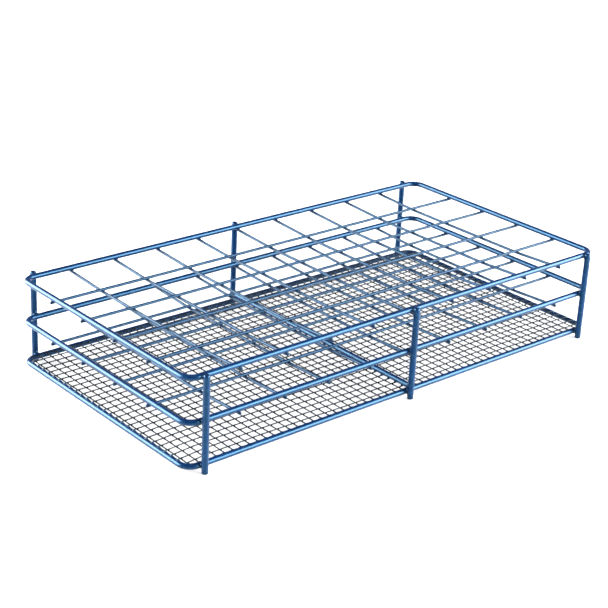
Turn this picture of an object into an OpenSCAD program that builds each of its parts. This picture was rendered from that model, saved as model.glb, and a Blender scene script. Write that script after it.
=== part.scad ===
// Coated wire rack for 25 mm tubes and vials: fifty square cells, ten by five.
// Three bent wire rings are stacked on six posts. The top and middle rings carry a welded
// grid of thin wires, and the bottom ring carries a fine square mesh that the tubes stand on.
// Origin: centre of the footprint, on the surface that the six post ends stand on.
// X runs along the long side, Y from front to back, Z up. Millimetres.

/* [Frame] */
// Length of a ring between the wire axes of its short sides
ring_length = 344; // [330:1:360]
// Width of a ring between the wire axes of its long sides
ring_width = 175; // [166:1:190]
// Radius of a ring's corner bend, at the wire axis
bend_radius = 8; // [6:0.5:12]
// Diameter of the coated ring wire
ring_wire_d = 3.8; // [3:0.1:5]
// Height from one ring to the next
tier_height = 28; // [20:1:40]
// Height of the bottom ring's axis above the bench
bottom_ring_z = 4.4; // [3.5:0.1:8]

/* [Posts] */
// Diameter of the coated post wire
post_d = 4.2; // [3.5:0.1:5.5]
// Distance from the end of the ring's axis to a corner post's axis
post_inset = 10; // [9:0.5:20]
// How far a post stands above the top ring
post_rise = 0.4; // [0:0.1:2]

/* [Grid] */
// Pitch of the square cells
cell_pitch = 34; // [32:0.5:35]
// Number of cells along the rack
cells_long = 10; // [10:2:10]
// Number of cells across the rack
cells_wide = 5; // [5:1:5]
// Diameter of the coated grid wire
grid_wire_d = 2.0; // [1.5:0.1:2.6]
// How far a grid wire's end stands past the ring's outer surface
stub = 0.5; // [0:0.1:1.5]

/* [Mesh] */
// Diameter of the coated mesh wire
mesh_wire_d = 0.9; // [0.6:0.1:1.2]
// Number of mesh squares along the rack
mesh_squares_long = 55; // [43:2:61]
// Number of mesh squares across the rack
mesh_squares_wide = 27; // [21:2:31]
// Gap from the ring's inner surface to the axis of the outermost mesh wire
mesh_edge_gap = 1.1; // [0.8:0.1:3]

/* [Hidden] */
$fn = 48;
coat_blue = [0.10, 0.30, 0.62];
mesh_blue = [0.07, 0.16, 0.32];
weld_sink = 0.25;            // depth that a welded wire sinks into its neighbour
mesh_weld_sink = 0.1;        // the same between two mesh wires
post_edge = 0.6;             // rounding of a post's cut end
grid_edge = 0.45;            // rounding of a grid wire's cut end

ring_r = ring_wire_d / 2;
grid_r = grid_wire_d / 2;
half_length = ring_length / 2;
half_width = ring_width / 2;
middle_ring_z = bottom_ring_z + tier_height;
top_ring_z = bottom_ring_z + 2 * tier_height;

post_x = half_length - post_inset;
post_y = half_width + ring_r + post_d / 2 - weld_sink;
post_height = top_ring_z + ring_r + post_rise;

// Heights below are measured from the axis of the ring that carries the wire.
under_ring = -(ring_r + grid_r - weld_sink);
under_long_wire = under_ring - grid_wire_d + weld_sink;
grid_overhang = ring_r + stub;
outer_long_y = (cells_wide / 2 - 1) * cell_pitch;
end_run = half_width + grid_overhang - outer_long_y;
end_slope = atan((under_ring - under_long_wire) / (half_width - outer_long_y));

mesh_long_z = ring_r + mesh_wire_d / 2 - weld_sink;
mesh_cross_z = mesh_long_z - mesh_wire_d + mesh_weld_sink;
mesh_half_length = half_length - ring_r - mesh_edge_gap;
mesh_half_width = half_width - ring_r - mesh_edge_gap;
mesh_pitch_x = 2 * mesh_half_length / mesh_squares_long;
mesh_pitch_y = 2 * mesh_half_width / mesh_squares_wide;
crest_setback = 0.3;         // a long mesh wire stops this far inside the ring's crest
shoulder_setback = 1.1;      // a cross mesh wire stops at the ring's inner shoulder

bar_z = bottom_ring_z + mesh_long_z + mesh_wire_d / 2 + ring_r - weld_sink;
bar_length = 2 * (post_y - post_d / 2 + weld_sink);

post_names = ["left", "middle", "right"];

// Place of a grid wire, counted from the left or from the front.
function grid_x(i) = (i - cells_long / 2) * cell_pitch;
function grid_y(i) = (i - cells_wide / 2) * cell_pitch;

// Reach of a ring's centre line, less a setback, at an offset across it. Beyond the start of
// the corner bend the reach follows the bend.
function ring_reach(half, half_across, offset, setback) =
    abs(offset) <= half_across - bend_radius
        ? half - setback
        : half - bend_radius
            + sqrt((bend_radius - setback) ^ 2 - (abs(offset) - half_across + bend_radius) ^ 2);

// A rod along +Z whose two cut ends have rounded edges.
module rod(d, length, edge) {
    rotate_extrude()
        union() {
            square([d / 2 - edge, length]);
            translate([0, edge])
                square([d / 2, length - 2 * edge]);
            for (z = [edge, length - edge])
                translate([d / 2 - edge, z])
                    circle(r = edge);
        }
}

// One length of wire bent to a rectangle with round corners, butt welded closed.
module ring(z) {
    color(coat_blue)
        translate([0, 0, z]) {
            for (side = [-1, 1]) {
                translate([side * half_length, 0, 0])
                    rotate([90, 0, 0])
                        cylinder(d = ring_wire_d, h = ring_width - 2 * bend_radius, center = true);
                translate([0, side * half_width, 0])
                    rotate([0, 90, 0])
                        cylinder(d = ring_wire_d, h = ring_length - 2 * bend_radius, center = true);
            }
            for (turn = [0 : 3]) {
                corner_x = (turn == 0 || turn == 3 ? 1 : -1) * (half_length - bend_radius);
                corner_y = (turn < 2 ? 1 : -1) * (half_width - bend_radius);
                translate([corner_x, corner_y, 0])
                    rotate([0, 0, 90 * turn])
                        rotate_extrude(angle = 90)
                            translate([bend_radius, 0])
                                circle(d = ring_wire_d);
            }
        }
}

// An upright outside the long sides, whose lower end is one of the rack's six feet.
module post(column, side) {
    color(coat_blue)
        translate([column * post_x, side * post_y, 0])
            rod(post_d, post_height, post_edge);
}

// A long grid wire, welded along the underside of a ring's short sides.
module long_wire(z, i) {
    wire_length = ring_length + 2 * grid_overhang;
    color(coat_blue)
        translate([-wire_length / 2, grid_y(i), z + under_ring])
            rotate([0, 90, 0])
                rod(grid_wire_d, wire_length, grid_edge);
}

// A cross grid wire. It lies under the long wires, and past the outermost one it is sprung up
// to the underside of the ring's long side.
module cross_wire(z, i) {
    color(coat_blue)
        translate([grid_x(i), 0, z + under_long_wire]) {
            rotate([90, 0, 0])
                cylinder(d = grid_wire_d, h = 2 * outer_long_y, center = true);
            for (side = [-1, 1])
                translate([0, side * outer_long_y, 0]) {
                    sphere(d = grid_wire_d);
                    rotate([-side * (90 - end_slope), 0, 0])
                        rod(grid_wire_d, end_run, grid_edge);
                }
        }
}

// The bar across the middle of the base. It lies on the mesh and ends at the middle posts.
module base_cross_bar() {
    color(coat_blue)
        translate([0, 0, bar_z])
            rotate([90, 0, 0])
                cylinder(d = ring_wire_d, h = bar_length, center = true);
}

// The upper layer of the base mesh. Its wires end on the crest of the bottom ring.
module mesh_long_wires() {
    color(mesh_blue)
        for (i = [0 : mesh_squares_wide]) {
            y = -mesh_half_width + i * mesh_pitch_y;
            reach = ring_reach(half_length, half_width, y, crest_setback);
            translate([0, y, bottom_ring_z + mesh_long_z])
                rotate([0, 90, 0])
                    cylinder(d = mesh_wire_d, h = 2 * reach, center = true);
        }
}

// The lower layer of the base mesh. Its wires end against the inner shoulder of the ring.
module mesh_cross_wires() {
    color(mesh_blue)
        for (i = [0 : mesh_squares_long]) {
            x = -mesh_half_length + i * mesh_pitch_x;
            reach = ring_reach(half_width, half_length, x, shoulder_setback);
            translate([x, 0, bottom_ring_z + mesh_cross_z])
                rotate([90, 0, 0])
                    cylinder(d = mesh_wire_d, h = 2 * reach, center = true);
        }
}

ring(top_ring_z);  // top_ring
ring(middle_ring_z);  // middle_ring
ring(bottom_ring_z);  // bottom_ring
for (i = [0 : 2]) {
    post(i - 1, -1);
    post(i - 1, 1);
}
for (i = [1 : cells_wide - 1]) {
    long_wire(top_ring_z, i);
    long_wire(middle_ring_z, i);
}
for (i = [1 : cells_long - 1]) {
    cross_wire(top_ring_z, i);
    cross_wire(middle_ring_z, i);
}
base_cross_bar();
mesh_long_wires();
mesh_cross_wires();
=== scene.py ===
"""Looks for the coated wire rack: every wire is swept again as a coated wire, and each welded joint
gets the fillet that the coating leaves there. Metres, in the row frame: X along, Y to the back, Z up."""

import math

import bmesh
import bpy
import numpy as np
from mathutils import Matrix, Vector


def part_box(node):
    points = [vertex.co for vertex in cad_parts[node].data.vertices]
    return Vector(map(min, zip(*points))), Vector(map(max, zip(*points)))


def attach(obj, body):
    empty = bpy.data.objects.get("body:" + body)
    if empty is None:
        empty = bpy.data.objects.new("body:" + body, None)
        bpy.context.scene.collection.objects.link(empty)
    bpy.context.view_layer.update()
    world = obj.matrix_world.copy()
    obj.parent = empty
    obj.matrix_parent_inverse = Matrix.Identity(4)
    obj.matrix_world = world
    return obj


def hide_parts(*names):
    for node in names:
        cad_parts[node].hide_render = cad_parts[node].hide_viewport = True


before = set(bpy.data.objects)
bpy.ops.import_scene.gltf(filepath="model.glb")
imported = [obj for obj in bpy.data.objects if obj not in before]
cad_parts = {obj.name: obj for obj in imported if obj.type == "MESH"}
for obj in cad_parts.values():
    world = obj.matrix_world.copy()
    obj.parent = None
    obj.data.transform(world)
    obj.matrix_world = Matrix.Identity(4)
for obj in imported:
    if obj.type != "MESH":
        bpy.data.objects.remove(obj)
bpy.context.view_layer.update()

MM = 0.001

# ---------------------------------------------------------------- sizes from the frame

TIERS = ("top", "middle")
COLUMNS = ("left", "middle", "right")
SIDES = ("front", "back")
LONG_WIRES = range(1, 5)
CROSS_WIRES = range(1, 10)
MESH_LONG_COUNT = 28
MESH_CROSS_COUNT = 56
BEND_RADIUS = 8 * MM


def centre(node):
    low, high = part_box(node)
    return (low + high) / 2


def size(node):
    low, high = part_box(node)
    return high - low


RING_R = size("top_ring").z / 2
HALF_X = size("top_ring").x / 2 - RING_R
HALF_Y = size("top_ring").y / 2 - RING_R
RING_Z = {tier: centre(tier + "_ring").z for tier in ("top", "middle", "bottom")}
POST_R = size("front_left_post").x / 2
GRID_R = size("top_long_wire_1").z / 2
BAR_R = size("base_cross_bar").z / 2
MESH_R = size("mesh_long_wires").z / 2
MESH_LONG_Z = centre("mesh_long_wires").z
MESH_CROSS_Z = centre("mesh_cross_wires").z
MESH_LONG_Y = np.linspace(-1, 1, MESH_LONG_COUNT) * (size("mesh_long_wires").y / 2 - MESH_R)
MESH_CROSS_X = np.linspace(-1, 1, MESH_CROSS_COUNT) * (size("mesh_cross_wires").x / 2 - MESH_R)
CREST_SETBACK = 0.3 * MM
SHOULDER_SETBACK = 1.1 * MM

COAT_SLACK = 0.03 * MM       # a wire's radius is this much under the CAD's, so its coating can vary
COAT_SWING = 0.7             # and it varies by this share of that
END_CROWN = 0.04 * MM        # how far a cut end's middle stands past its rim

# How far the coating at a weld may reach, and the width over which it blends the two wires.
POST_WELD = {"reach": 3.6 * MM, "blend": 1.7 * MM}
BAR_POST_WELD = {"reach": 3.2 * MM, "blend": 1.6 * MM}
BAR_MESH_WELD = {"reach": 2.6 * MM, "blend": 1.5 * MM}
GRID_RING_WELD = {"reach": 2.6 * MM, "blend": 1.2 * MM}
GRID_CROSSING_WELD = {"reach": 1.9 * MM, "blend": 0.9 * MM}
MESH_LONG_END_WELD = {"reach": 1.7 * MM, "blend": 0.7 * MM}
MESH_CROSS_END_WELD = {"reach": 1.6 * MM, "blend": 0.7 * MM}
MESH_CROSSING_WELD = {"reach": 1.15 * MM, "blend": 0.75 * MM}


# ---------------------------------------------------------------- mesh building

class Skin:
    """Points, faces and the share of pooled coating and painted shade at each point, gathered for one piece.
    """

    def __init__(self):
        self.points = []
        self.faces = []
        self.pool_and_shade = []
        self.count = 0

    def add(self, points, faces, pool_and_shade):
        self.points.append(np.asarray(points, float))
        self.faces += [[i + self.count for i in face] for face in faces]
        self.pool_and_shade.append(np.broadcast_to(pool_and_shade, len(points)))
        self.count += len(points)

    def piece(self, name, material, slot, replaced=()):
        mesh = bpy.data.meshes.new(name)
        mesh.from_pydata(np.concatenate(self.points).tolist(), [], self.faces)
        mesh.polygons.foreach_set("use_smooth", [True] * len(mesh.polygons))
        pool_and_shade = mesh.attributes.new("pool_and_shade", "FLOAT", "POINT")
        pool_and_shade.data.foreach_set("value", np.concatenate(self.pool_and_shade).astype(np.float32))
        mesh.materials.append(material)
        mesh.validate()
        piece = bpy.data.objects.new(name, mesh)
        bpy.context.scene.collection.objects.link(piece)
        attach(piece, "root")
        if replaced:
            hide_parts(*replaced)


def waves(distance, phase):
    """A smooth irregular run between -1 and 1 along a wire, different for each phase."""
    run = 0
    for length, share in ((47 * MM, 0.45), (19.3 * MM, 0.33), (7.9 * MM, 0.22)):
        run = run + share * np.sin(2 * math.pi * distance / length + phase * (1 + length * 310))
    return run


def loft(skin, rings, tips, pool_and_shade):
    """Skins rings of points, which run clockwise as seen along the loft. Two tips close its ends, and
    with no tips the last ring joins the first."""
    count, sides = rings.shape[:2]
    points = rings.reshape(-1, 3)
    faces = []
    for i in range(count - 1 if tips else count):
        a, b = i * sides, (i + 1) % count * sides
        faces += [[a + j, a + (j + 1) % sides, b + (j + 1) % sides, b + j] for j in range(sides)]
    weights = np.repeat(np.broadcast_to(pool_and_shade, count), sides)
    if tips:
        first_tip, last_tip, last = len(points), len(points) + 1, len(points) - sides
        for j in range(sides):
            k = (j + 1) % sides
            faces += [[k, j, first_tip], [last + j, last + k, last_tip]]
        points = np.concatenate([points, tips])
        weights = np.append(weights, weights[[0, -1]])
    skin.add(points, faces, weights)


def sweep(skin, path, along, up, radius, sides, closed=False, pool_and_shade=0.0):
    """Sweeps a round section of the given radius at each path point. up is square to the path."""
    across = np.cross(up, along)
    turn = np.arange(sides) * 2 * math.pi / sides
    radius = np.asarray(radius).reshape(len(path), -1)
    rings = (path[:, None]
             + (np.cos(turn) * radius)[:, :, None] * across[:, None]
             + (np.sin(turn) * radius)[:, :, None] * np.broadcast_to(up, path.shape)[:, None])
    tips = None if closed else [path[0] - along[0] * END_CROWN, path[-1] + along[-1] * END_CROWN]
    loft(skin, rings, tips, pool_and_shade)


def rod_stations(length, radius, edges, step):
    """Distances along a rod and the radius there, with a rounded edge at each end."""
    turn = np.linspace(0, math.pi / 2, 6)
    first, last = edges
    start = END_CROWN + first * (1 - np.cos(turn))
    start_r = radius - first * (1 - np.sin(turn))
    end = length - END_CROWN - last * (1 - np.cos(turn[::-1]))
    end_r = radius - last * (1 - np.sin(turn[::-1]))
    count = max(2, round((end[0] - start[-1]) / step))
    middle = np.linspace(start[-1], end[0], count + 1)[1:-1]
    return (np.concatenate([start, middle, end]),
            np.concatenate([start_r, np.full(len(middle), radius), end_r]))


def coated_rod(skin, start, end, radius, edges, step, sides, phase, pool_and_shade=None):
    """A straight coated wire with rounded cut ends, whose coating varies a little in thickness."""
    start, end = np.asarray(start, float), np.asarray(end, float)
    length = np.linalg.norm(end - start)
    direction = (end - start) / length
    up = np.array([0, 1, 0]) if abs(direction[2]) > 0.9 else np.array([0, 0, 1.0])
    up = up - direction * up.dot(direction)
    up /= np.linalg.norm(up)
    distance, radii = rod_stations(length, radius - COAT_SLACK, edges, step)
    radii = radii + COAT_SWING * COAT_SLACK * waves(distance, phase)
    path = start + distance[:, None] * direction
    weights = 0.0 if pool_and_shade is None else pool_and_shade(distance, length)
    sweep(skin, path, np.broadcast_to(direction, path.shape), up, radii, sides, pool_and_shade=weights)


# ---------------------------------------------------------------- coating at the welds

def wire_distance(start, end, radius):
    """The distance of points from the surface of a straight wire, negative inside it."""
    start, end = np.asarray(start, float), np.asarray(end, float)
    run = end - start

    def distance(points):
        share = np.clip((points - start) @ run / run.dot(run), 0, 1)
        return np.linalg.norm(points - start - share[..., None] * run, axis=-1) - radius

    return distance


def ring_distance(z):
    """The same for a whole ring, which is a wire bent to a rectangle with round corners."""
    def distance(points):
        outside = np.abs(points[..., :2]) - (HALF_X - BEND_RADIUS, HALF_Y - BEND_RADIUS)
        flat = (np.linalg.norm(np.maximum(outside, 0), axis=-1)
                + np.minimum(outside.max(-1), 0) - BEND_RADIUS)
        return np.hypot(flat, points[..., 2] - z) - RING_R

    return distance


def ball(detail):
    """Directions and faces of an evenly divided ball."""
    mesh = bmesh.new()
    bmesh.ops.create_icosphere(mesh, subdivisions=detail, radius=1)
    directions = np.array([v.co[:] for v in mesh.verts])
    faces = [[v.index for v in f.verts] for f in mesh.faces]
    mesh.free()
    return directions / np.linalg.norm(directions, axis=1)[:, None], faces


FILLET_SINK = 0.05 * MM      # a fillet's edge dives this far under the wires
RAY_STEPS = 40


def fillet(skin, middle, wires, template, reach, blend):
    """The coating that bridges wires at a weld: seen from its middle, the smoothly blended surface
    of the wires out to reach, beyond which it is hidden inside them."""
    directions, faces = template
    middle = np.asarray(middle, float)
    steps = np.linspace(0, reach, RAY_STEPS)

    def surface(points):
        blended = wires[0](points)
        for wire in wires[1:]:
            other = wire(points)
            near = np.maximum(blend - np.abs(blended - other), 0) / blend
            blended = np.minimum(blended, other) - near * near * blend / 4
        return blended + FILLET_SINK

    depth = surface(middle + directions[:, None] * steps[:, None])
    outside = depth > 0
    outside[:, 0] = False
    hit = np.where(outside.any(1), outside.argmax(1), RAY_STEPS - 1)
    rows = np.arange(len(directions))
    before, after = depth[rows, hit - 1], depth[rows, hit]
    share = np.where(after > 0, before / (before - after), 1.0)
    length = steps[hit - 1] + share * (steps[1] - steps[0])
    # Every fillet takes the full share of darkening: pooled coating and painted shade at the weld.
    skin.add(middle + directions * length[:, None], faces, 1.0)


# ---------------------------------------------------------------- materials

def coating(name, deep, body, light, glint, metal, roughness, gloss, speck):
    """Glossy translucent epoxy over steel wire: colour drifts with its thickness, it is darker where it
    pools at the welds, crossings and cut ends, partly as painted shade in those joints, and its surface has
    a faint orange peel."""
    material = bpy.data.materials.new(name)
    material.use_nodes = True
    nodes, links = material.node_tree.nodes, material.node_tree.links
    shader = nodes["Principled BSDF"]
    place = nodes.new("ShaderNodeTexCoord")

    def noise(scale, detail, spread=0.5):
        node = nodes.new("ShaderNodeTexNoise")
        node.inputs["Scale"].default_value = scale
        node.inputs["Detail"].default_value = detail
        node.inputs["Roughness"].default_value = spread
        links.new(place.outputs["Object"], node.inputs["Vector"])
        return node.outputs["Fac"]

    def mapped(value, low, high, to_low, to_high):
        node = nodes.new("ShaderNodeMapRange")
        for socket, number in zip(node.inputs[1:5], (low, high, to_low, to_high)):
            socket.default_value = number
        links.new(value, node.inputs[0])
        return node.outputs[0]

    def mixed(share, first, second):
        node = nodes.new("ShaderNodeMix")
        node.data_type = "RGBA"
        for socket, value in zip((node.inputs[0], node.inputs[6], node.inputs[7]), (share, first, second)):
            if isinstance(value, tuple):
                socket.default_value = (*value, 1)
            else:
                links.new(value, socket)
        return node.outputs[2]

    # Thickness drifts over a few centimetres and again over a few millimetres.
    drift = mapped(noise(70, 3), 0.3, 0.7, 0, 1)
    colour = mixed(drift, body, light)
    patches = mapped(noise(420, 2), 0.48, 0.72, 0, speck)
    colour = mixed(patches, colour, deep)
    # Darker towards the deep colour where coating pools at welds, crossings and cut ends; this is also
    # painted shade in those joints.
    pool_and_shade = nodes.new("ShaderNodeAttribute")
    pool_and_shade.attribute_name = "pool_and_shade"
    pooled_and_shaded = mapped(pool_and_shade.outputs["Fac"], 0, 1, 0, 0.6)
    colour = mixed(pooled_and_shaded, colour, deep)
    links.new(colour, shader.inputs["Base Color"])
    links.new(mapped(noise(160, 4, 0.6), 0.3, 0.7, roughness * 0.8, roughness * 1.25),
              shader.inputs["Roughness"])
    peel = nodes.new("ShaderNodeBump")
    peel.inputs["Strength"].default_value = 0.35
    peel.inputs["Distance"].default_value = 0.05 * MM
    links.new(noise(900, 3), peel.inputs["Height"])
    links.new(peel.outputs["Normal"], shader.inputs["Normal"])
    shader.inputs["Metallic"].default_value = metal
    shader.inputs["Specular IOR Level"].default_value = gloss
    shader.inputs["Specular Tint"].default_value = (*glint, 1)
    shader.inputs["Coat Weight"].default_value = 0.06
    shader.inputs["Coat Roughness"].default_value = 0.06
    return material


frame_coating = coating("frame_coating", (0.001, 0.003, 0.017), (0.001, 0.011, 0.049), (0.001, 0.017, 0.073),
                        glint=(0.24, 0.73, 1.0), metal=0.1, roughness=0.25, gloss=0.47, speck=0.35)
grid_coating = coating("grid_coating", (0.001, 0.003, 0.014), (0.001, 0.009, 0.036), (0.002, 0.013, 0.052),
                       glint=(0.26, 0.73, 1.0), metal=0.1, roughness=0.27, gloss=0.35, speck=0.35)
mesh_coating = coating("mesh_coating", (0.000, 0.000, 0.001), (0.001, 0.001, 0.003), (0.001, 0.002, 0.006),
                       glint=(0.45, 0.75, 1.0), metal=0.0, roughness=0.42, gloss=0.12, speck=0.4)


# ---------------------------------------------------------------- rings

THICK_WIRE_SIDES = 28
THICK_WIRE_STEP = 2 * MM
BEND_STEPS = 14


def rounded_rectangle(half_x, half_y, bend, step):
    """Points, directions and distances round a rectangle with round corners, seen from above."""
    points, directions = [], []
    for corner in range(4):
        turn = corner * math.pi / 2
        outward = np.array([math.cos(turn), math.sin(turn)])
        onward = np.array([-outward[1], outward[0]])
        reach, half = (half_x, half_y) if corner % 2 == 0 else (half_y, half_x)
        run = half - bend
        for share in np.linspace(-1, 1, round(2 * run / step) + 1):
            points.append(outward * reach + onward * run * share)
            directions.append(onward)
        hub = outward * (reach - bend) + onward * run
        for i in range(1, BEND_STEPS):
            angle = i / BEND_STEPS * math.pi / 2
            points.append(hub + bend * (outward * math.cos(angle) + onward * math.sin(angle)))
            directions.append(onward * math.cos(angle) - outward * math.sin(angle))
    points, directions = np.array(points), np.array(directions)
    hops = np.linalg.norm(np.diff(points, axis=0), axis=1)
    return points, directions, np.concatenate([[0], np.cumsum(hops)])


def flat_to_3d(points, z):
    return np.column_stack([points, np.full(len(points), z)])


def build_ring(tier, phase):
    points, directions, distance = rounded_rectangle(HALF_X, HALF_Y, BEND_RADIUS, THICK_WIRE_STEP)
    turn = np.arange(THICK_WIRE_SIDES) * 2 * math.pi / THICK_WIRE_SIDES
    lap = distance / (distance[-1] + THICK_WIRE_STEP)
    # The coating's variation fades out where the ring's last station meets its first.
    thickness = waves(distance, phase) * np.sin(math.pi * lap) ** 0.2
    # The coating runs a little thicker on the underside, where it drained.
    radius = RING_R - COAT_SLACK + COAT_SLACK * (0.7 * thickness[:, None] - 0.3 * np.sin(turn))
    skin = Skin()
    sweep(skin, flat_to_3d(points, RING_Z[tier]), flat_to_3d(directions, 0), (0, 0, 1), radius,
          THICK_WIRE_SIDES, closed=True)
    skin.piece(tier + "_ring_wire", frame_coating, "frame_coating", [tier + "_ring"])


for number, tier in enumerate(("top", "middle", "bottom")):
    build_ring(tier, 1.7 * number)


# ---------------------------------------------------------------- posts and the base bar

def end_pool_and_shade(distance, length):
    """Coating gathers over the last millimetres of a cut end, darkening it; where the end meets a ring or
    the floor, that darkening is also painted shade.
    """
    near = np.minimum(distance, length - distance)
    return 0.7 * np.clip(1 - near / (2.5 * MM), 0, 1)


POST_FOOT_EDGE, POST_TOP_EDGE = 0.6 * MM, 1.5 * MM
POST_STEP = 1.5 * MM
BAR_EDGE = 0.4 * MM
POSTS = {}
for column in COLUMNS:
    for side in SIDES:
        node = f"{side}_{column}_post"
        middle = centre(node)
        POSTS[side, column] = middle
        skin = Skin()
        coated_rod(skin, (middle.x, middle.y, 0), (middle.x, middle.y, size(node).z), POST_R,
                   (POST_FOOT_EDGE, POST_TOP_EDGE), POST_STEP, THICK_WIRE_SIDES,
                   phase=middle.x * 90 + middle.y * 50, pool_and_shade=end_pool_and_shade)
        skin.piece(node + "_wire", frame_coating, "frame_coating", [node])

bar = centre("base_cross_bar")
bar_half = size("base_cross_bar").y / 2
skin = Skin()
coated_rod(skin, (bar.x, bar.y - bar_half, bar.z), (bar.x, bar.y + bar_half, bar.z), BAR_R,
           (BAR_EDGE, BAR_EDGE), THICK_WIRE_STEP, THICK_WIRE_SIDES, phase=0.6)
skin.piece("base_cross_bar_wire", frame_coating, "frame_coating", ["base_cross_bar"])


# ---------------------------------------------------------------- grids

GRID_SIDES = 18
GRID_STEP = 2.2 * MM
GRID_EDGE = 0.6 * MM
GRID_BEND = 4 * MM           # the run over which a cross wire's corner is eased
LONG_Y = [centre(f"top_long_wire_{i}").y for i in LONG_WIRES]
CROSS_X = [centre(f"top_cross_wire_{i}").x for i in CROSS_WIRES]


def long_wire(tier, i):
    """Start and end of a straight long wire's axis."""
    low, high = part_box(f"{tier}_long_wire_{i}")
    y, z = (low.y + high.y) / 2, (low.z + high.z) / 2
    return (low.x, y, z), (high.x, y, z)


def cross_wire_path(tier, i):
    """The four points of a cross wire's axis: level under the long wires, rising to the ring."""
    low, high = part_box(f"{tier}_cross_wire_{i}")
    x, level = (low.x + high.x) / 2, low.z + GRID_R
    knee = LONG_Y[-1]
    end_slope = math.atan((high.z - GRID_R - level) / (high.y - knee))
    end_y, end_z = high.y - GRID_R * math.sin(end_slope), high.z - GRID_R * math.cos(end_slope)
    corners = (x, -end_y, end_z), (x, -knee, level), (x, knee, level), (x, end_y, end_z)
    return [np.array(corner) for corner in corners]


def bent_grid_rod(skin, corners, phase):
    """A coated grid wire along corners in a plane square to X, with each corner eased into an arc."""
    legs = [b - a for a, b in zip(corners, corners[1:])]
    lengths = [np.linalg.norm(leg) for leg in legs]
    total = sum(lengths)
    distance, radii = rod_stations(total, GRID_R - COAT_SLACK, (GRID_EDGE, GRID_EDGE), GRID_STEP)
    stops = np.concatenate([[0], np.cumsum(lengths)])

    def along_legs(d):
        return np.column_stack([np.interp(d, stops, [c[axis] for c in corners]) for axis in range(3)])

    # Averaging over a short run turns each corner into a smooth bend, and leaves the ends alone.
    ease = np.clip(np.minimum(distance, total - distance), 0, GRID_BEND)
    window = np.linspace(-1, 1, 9)
    path = np.mean([along_legs(distance + share * ease) for share in window], axis=0)
    directions = np.gradient(path, axis=0)
    directions /= np.linalg.norm(directions, axis=1)[:, None]
    up = np.cross(directions, (-1.0, 0, 0))
    sweep(skin, path, directions, up, radii + COAT_SLACK * waves(distance, phase), GRID_SIDES,
          pool_and_shade=end_pool_and_shade(distance, total))


for tier in TIERS:
    for i in LONG_WIRES:
        skin, node = Skin(), f"{tier}_long_wire_{i}"
        start, end = long_wire(tier, i)
        coated_rod(skin, start, end, GRID_R, (GRID_EDGE, GRID_EDGE), GRID_STEP, GRID_SIDES,
                   phase=i * 1.3 + RING_Z[tier] * 100, pool_and_shade=end_pool_and_shade)
        skin.piece(node + "_coated", grid_coating, "grid_coating", [node])
    for i in CROSS_WIRES:
        skin, node = Skin(), f"{tier}_cross_wire_{i}"
        bent_grid_rod(skin, cross_wire_path(tier, i), phase=i * 2.1 + RING_Z[tier] * 70)
        skin.piece(node + "_coated", grid_coating, "grid_coating", [node])


# ---------------------------------------------------------------- mesh

MESH_SIDES = 10
MESH_EDGE = 0.2 * MM
BOW_PITCH = 200 * MM         # from one bow of the long wires to the next
BOW_MIDDLE = -120 * MM       # where along X one of them is
STRAIGHT_END = 18 * MM       # over which a mesh wire comes back into line at the ring


def ring_reach(half, half_across, offset, setback):
    """How far a mesh wire at this offset goes to end over the ring, less a setback."""
    past = np.maximum(np.abs(offset) - half_across + BEND_RADIUS, 0)
    return half - BEND_RADIUS + np.sqrt((BEND_RADIUS - setback) ** 2 - past ** 2)


def wander(x, y):
    """How far the mesh strays along X and Y at a point. It is not perfectly square: its long wires bow
    towards the middle, more at the front, and straighten again over the ring."""
    stray_x = 0.35 * MM * np.sin(x * 61 + 1.9 * np.sin(y * 27)) + 0.07 * MM * np.sin(x * 240 + y * 170)
    stray_y = 0.13 * MM * np.sin(y * 83 + 1.7 * np.sin(x * 39) + 2) + 0.07 * MM * np.sin(y * 260 - x * 150)
    bow = (0.7 - 1.1 * y / HALF_Y) * MM
    stray_y = stray_y + bow * (0.5 + 0.5 * np.cos((x - BOW_MIDDLE) * 2 * math.pi / BOW_PITCH))
    ease_x, ease_y = (np.clip((half - np.abs(place)) / STRAIGHT_END, 0, 1)
                      for half, place in ((HALF_X, x), (HALF_Y, y)))
    return stray_x * ease_y * ease_y * (3 - 2 * ease_y), stray_y * ease_x * ease_x * (3 - 2 * ease_x)


def mesh_wire(skin, fixed, reach, others, along_x, z, phase):
    """One mesh wire. It follows the wandering crossings and is thicker where it crosses a wire."""
    pitch = others[1] - others[0]
    turn = np.linspace(0, math.pi / 2, 4)
    cap = reach - END_CROWN - MESH_EDGE * (1 - np.cos(turn[::-1]))
    stations = [others + shift * pitch for shift in (-0.32, -0.13, 0, 0.13, 0.32)]
    stations = np.sort(np.concatenate(stations))
    stations = stations[np.abs(stations) < cap[0] - MESH_EDGE]
    distance = np.concatenate([-cap[::-1], stations, cap])
    rounding = MESH_EDGE * np.concatenate([1 - np.sin(turn), np.zeros(len(stations)),
                                           1 - np.sin(turn[::-1])])
    crossing = np.cos((distance - others[0]) / pitch * 2 * math.pi) * 0.5 + 0.5
    radius = MESH_R - 0.02 * MM - rounding + 0.015 * MM * waves(distance, phase)
    radius = radius - 0.03 * MM * (1 - crossing ** 4)
    level = np.full(len(distance), z)
    if along_x:
        path = np.column_stack([distance, fixed + wander(distance, fixed)[1], level])
        along = np.array([1.0, 0, 0])
    else:
        path = np.column_stack([fixed + wander(fixed, distance)[0], distance, level])
        along = np.array([0, 1.0, 0])
    # Darker towards each crossing: pooled coating and painted shade between the two wires.
    sweep(skin, path, np.broadcast_to(along, path.shape), (0, 0, 1), radius, MESH_SIDES,
          pool_and_shade=0.8 * crossing ** 6)


skin = Skin()
for number, y in enumerate(MESH_LONG_Y):
    mesh_wire(skin, y, ring_reach(HALF_X, HALF_Y, y, CREST_SETBACK), MESH_CROSS_X, True,
              MESH_LONG_Z, number)
skin.piece("mesh_long_wires_coated", mesh_coating, "mesh_coating", ["mesh_long_wires"])

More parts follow.
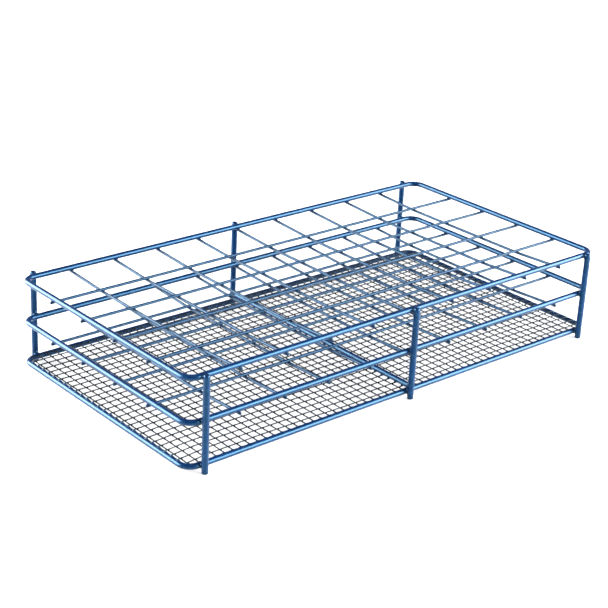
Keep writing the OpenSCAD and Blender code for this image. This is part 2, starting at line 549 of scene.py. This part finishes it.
skin = Skin()
for number, x in enumerate(MESH_CROSS_X):
    mesh_wire(skin, x, ring_reach(HALF_Y, HALF_X, x, SHOULDER_SETBACK), MESH_LONG_Y, False,
              MESH_CROSS_Z, number + 0.5)
skin.piece("mesh_cross_wires_coated", mesh_coating, "mesh_coating", ["mesh_cross_wires"])


# ---------------------------------------------------------------- coating fillets

FINE_BALL = ball(4)
MEDIUM_BALL = ball(3)
SMALL_BALL = ball(2)


def post_wire(side, column):
    foot = POSTS[side, column]
    return wire_distance((foot.x, foot.y, POST_R), (foot.x, foot.y, 2 * foot.z - POST_R), POST_R)


for tier in ("top", "middle", "bottom"):
    skin = Skin()
    for (side, column), post in POSTS.items():
        out = math.copysign(1, post.y)
        touch = (HALF_Y + RING_R + abs(post.y) - POST_R) / 2
        fillet(skin, (post.x, out * touch, RING_Z[tier]),
               [ring_distance(RING_Z[tier]), post_wire(side, column)], FINE_BALL, **POST_WELD)
    skin.piece(f"{tier}_post_welds", frame_coating, "frame_coating")

skin = Skin()
bar_wire = wire_distance((bar.x, -bar_half, bar.z), (bar.x, bar_half, bar.z), BAR_R)
for side in SIDES:
    post = POSTS[side, "middle"]
    out = math.copysign(1, post.y)
    fillet(skin, (bar.x, out * (abs(post.y) - POST_R), bar.z),
           [bar_wire, post_wire(side, "middle")], FINE_BALL, **BAR_POST_WELD)
for y in MESH_LONG_Y + wander(bar.x, MESH_LONG_Y)[1]:
    mesh_run = wire_distance((-HALF_X, y, MESH_LONG_Z), (HALF_X, y, MESH_LONG_Z), MESH_R)
    fillet(skin, (bar.x, y, (bar.z - BAR_R + MESH_LONG_Z + MESH_R) / 2), [bar_wire, mesh_run],
           MEDIUM_BALL, **BAR_MESH_WELD)
skin.piece("base_bar_welds", frame_coating, "frame_coating")

for tier in TIERS:
    ring = ring_distance(RING_Z[tier])
    long_wires = {}
    ring_welds, crossings = Skin(), Skin()
    for i in LONG_WIRES:
        start, end = long_wire(tier, i)
        long_wires[i] = wire_distance((start[0] + GRID_R, *start[1:]), (end[0] - GRID_R, *end[1:]), GRID_R)
        touch_z = (RING_Z[tier] - RING_R + start[2] + GRID_R) / 2
        for x in (-HALF_X, HALF_X):
            fillet(ring_welds, (x, start[1], touch_z), [ring, long_wires[i]], MEDIUM_BALL,
                   **GRID_RING_WELD)
    for i in CROSS_WIRES:
        corners = cross_wire_path(tier, i)
        level = wire_distance(corners[1], corners[2], GRID_R)
        for outer, knee in ((0, 1), (3, 2)):
            run = corners[outer] - corners[knee]
            tip = corners[outer] - GRID_R * run / np.linalg.norm(run)
            slope = wire_distance(corners[knee], tip, GRID_R)
            y = math.copysign(HALF_Y, run[1])
            axis_z = np.interp(HALF_Y, [abs(corners[knee][1]), abs(corners[outer][1])],
                               [corners[knee][2], corners[outer][2]])
            touch_z = (RING_Z[tier] - RING_R + axis_z + GRID_R) / 2
            fillet(ring_welds, (corners[0][0], y, touch_z), [ring, slope], MEDIUM_BALL,
                   **GRID_RING_WELD)
        for j in LONG_WIRES:
            start, end = long_wire(tier, j)
            touch_z = (start[2] + corners[1][2]) / 2
            fillet(crossings, (corners[0][0], start[1], touch_z), [long_wires[j], level],
                   MEDIUM_BALL, **GRID_CROSSING_WELD)
    ring_welds.piece(f"{tier}_grid_ring_welds", grid_coating, "grid_coating")
    crossings.piece(f"{tier}_grid_crossing_welds", grid_coating, "grid_coating")

skin = Skin()
bottom = ring_distance(RING_Z["bottom"])
for y in MESH_LONG_Y:
    reach = ring_reach(HALF_X, HALF_Y, y, CREST_SETBACK)
    run = wire_distance((-reach + MESH_R, y, MESH_LONG_Z), (reach - MESH_R, y, MESH_LONG_Z), MESH_R)
    for side in (-1, 1):
        fillet(skin, (side * (reach - 0.5 * MM), y, MESH_LONG_Z - 0.6 * MESH_R), [bottom, run],
               SMALL_BALL, **MESH_LONG_END_WELD)
for x in MESH_CROSS_X:
    reach = ring_reach(HALF_Y, HALF_X, x, SHOULDER_SETBACK)
    run = wire_distance((x, -reach + MESH_R, MESH_CROSS_Z), (x, reach - MESH_R, MESH_CROSS_Z), MESH_R)
    for side in (-1, 1):
        fillet(skin, (x, side * (reach - 0.4 * MM), MESH_CROSS_Z), [bottom, run],
               SMALL_BALL, **MESH_CROSS_END_WELD)
skin.piece("mesh_edge_welds", frame_coating, "frame_coating")


LIP_ROOT = 1.0 * MM          # from the ring's axis to the lip's root, inside the ring
LIP_THIN, LIP_THICK = 0.5 * MM, 0.8 * MM


def edge_lip(skin, outward, run, half_across, wire_z, stops, short, scallop):
    """The lip of coating on the bottom ring's inner shoulder. It fills a short share of the gap to the
    mesh, and a scallop share more along each mesh wire that ends there."""
    outward = np.array([*outward, 0.0])
    onward = np.array([-outward[1], outward[0], 0])
    pitch = stops[1] - stops[0]
    distance = np.arange(-run, run, pitch / 8)
    full = (0.5 + 0.5 * np.cos(2 * math.pi * (distance - stops[0]) / pitch))[:, None] ** 2
    gap = HALF_Y - MESH_LONG_Y[-1] - MESH_R - LIP_ROOT
    reach = gap * (short + scallop * full)
    turn = np.linspace(-math.pi / 2, math.pi / 2, 7)
    thick = LIP_THIN + (LIP_THICK - LIP_THIN) * full
    root = np.full_like(reach, LIP_ROOT)
    across = np.concatenate([LIP_ROOT + reach * np.cos(turn), root], axis=1)
    height = wire_z - RING_Z["bottom"] - 0.3 * MESH_R + np.concatenate(
        [thick / 2 * np.sin(turn), np.zeros_like(root)], axis=1)
    rings = ((half_across - across)[:, :, None] * outward + distance[:, None, None] * onward
             + (RING_Z["bottom"] + height)[:, :, None] * np.array([0, 0, 1.0]))
    # The lip is darkened most at each mesh wire's end: pooled coating and painted shade in that joint.
    loft(skin, rings, [rings[0].mean(0), rings[-1].mean(0)], 0.5 * full[:, 0])


# The lip is wider on the back and right sides of the ring.
skin = Skin()
for side, short, scallop in ((-1, 0.3, 0.2), (1, 0.9, 0.1)):
    edge_lip(skin, (0, side), HALF_X - BEND_RADIUS, HALF_Y, MESH_CROSS_Z, MESH_CROSS_X, short, scallop)
    edge_lip(skin, (side, 0), HALF_Y - BEND_RADIUS, HALF_X, MESH_CROSS_Z, MESH_LONG_Y, short, scallop)
skin.piece("mesh_edge_lip", frame_coating, "frame_coating")

# Where two mesh wires cross, the coating fills the four corners between them.
CROSSING_BALL = ball(1)
CROSSING_TOUCH_Z = (MESH_LONG_Z + MESH_CROSS_Z) / 2
CROSSING_RUN = 4 * MM
crossing = Skin()
fillet(crossing, (0, 0, CROSSING_TOUCH_Z),
       [wire_distance((-CROSSING_RUN, 0, MESH_LONG_Z), (CROSSING_RUN, 0, MESH_LONG_Z), MESH_R),
        wire_distance((0, -CROSSING_RUN, MESH_CROSS_Z), (0, CROSSING_RUN, MESH_CROSS_Z), MESH_R)],
       CROSSING_BALL, **MESH_CROSSING_WELD)
# Each crossing fillet takes the full share of darkening: pooled coating and painted shade between the wires.
skin = Skin()
for y in MESH_LONG_Y:
    for x in MESH_CROSS_X:
        stray_x, stray_y = wander(x, y)
        skin.add(crossing.points[0] + (x + stray_x, y + stray_y, 0), crossing.faces, 1.0)
skin.piece("mesh_crossing_welds", mesh_coating, "mesh_coating")


# ---------------------------------------------------------------- floor, lights, camera

def light_table(name, colour, roughness, glow):
    """Pale translucent acrylic lit from below, which leaves the shadows faint."""
    material = bpy.data.materials.new(name)
    material.use_nodes = True
    shader = material.node_tree.nodes["Principled BSDF"]
    shader.inputs["Base Color"].default_value = (*colour, 1)
    shader.inputs["Roughness"].default_value = roughness
    shader.inputs["Emission Color"].default_value = (1, 1, 1, 1)
    shader.inputs["Emission Strength"].default_value = glow
    return material


FLOOR_HALF = 12
floor_mesh = bpy.data.meshes.new("floor")
floor_mesh.from_pydata([(-FLOOR_HALF, -FLOOR_HALF, 0), (FLOOR_HALF, -FLOOR_HALF, 0),
                        (FLOOR_HALF, FLOOR_HALF, 0), (-FLOOR_HALF, FLOOR_HALF, 0)], [], [(0, 1, 2, 3)])
floor_mesh.materials.append(light_table("floor_white", (0.6, 0.6, 0.6), 0.6, 0.38))
floor = bpy.data.objects.new("floor", floor_mesh)
bpy.context.scene.collection.objects.link(floor)

AIM = Vector((0.01233, 0.02808, 0.01955))      # the point that the camera looks at


def direction_from(azimuth, elevation):
    """The direction from the rack to something seen at this azimuth and elevation, in degrees."""
    azimuth, elevation = math.radians(azimuth), math.radians(elevation)
    return Vector((math.sin(azimuth) * math.cos(elevation), -math.cos(azimuth) * math.cos(elevation),
                   math.sin(elevation)))


def facing(back, roll):
    """A turn that looks along -back, tipped by roll in degrees."""
    right = (-back).cross(Vector((0, 0, 1))).normalized()
    up = right.cross(-back)
    roll = math.radians(roll)
    tipped_right = right * math.cos(roll) + up * math.sin(roll)
    tipped_up = up * math.cos(roll) - right * math.sin(roll)
    return Matrix((tipped_right, tipped_up, back)).transposed().to_4x4()


def soft_box(name, azimuth, elevation, distance, width, height, power):
    lamp = bpy.data.lights.new(name, "AREA")
    lamp.shape = "RECTANGLE"
    lamp.size = width
    lamp.size_y = height
    lamp.energy = power
    holder = bpy.data.objects.new(name, lamp)
    back = direction_from(azimuth, elevation)
    holder.matrix_world = Matrix.Translation(back * distance) @ facing(back, 0)
    holder.visible_camera = False
    bpy.context.scene.collection.objects.link(holder)


# Azimuth and elevation in degrees, distance, width and height in metres, power in watts.
soft_box("overhead", -20, 78, 2.2, 0.8, 0.8, 7)
soft_box("front_right", 42, 17, 1.6, 1.8, 1.2, 165)
soft_box("back_left", -134, 17, 1.6, 1.8, 1.2, 165)

world = bpy.data.worlds.new("studio")
world.use_nodes = True
world.node_tree.nodes["Background"].inputs["Color"].default_value = (1, 1, 1, 1)
world.node_tree.nodes["Background"].inputs["Strength"].default_value = 0.25
bpy.context.scene.world = world
bpy.context.scene.view_settings.view_transform = "Standard"

CAMERA_AZIMUTH, CAMERA_ELEVATION, CAMERA_ROLL = -41.48, 23.28, 2.78
CAMERA_DISTANCE = 1.05
camera_data = bpy.data.cameras.new("camera")
camera_data.lens = 90.72
camera_data.sensor_width = 36
camera = bpy.data.objects.new("camera", camera_data)
back = direction_from(CAMERA_AZIMUTH, CAMERA_ELEVATION)
camera.matrix_world = Matrix.Translation(AIM + back * CAMERA_DISTANCE) @ facing(back, CAMERA_ROLL)
bpy.context.scene.collection.objects.link(camera)
bpy.context.scene.camera = camera
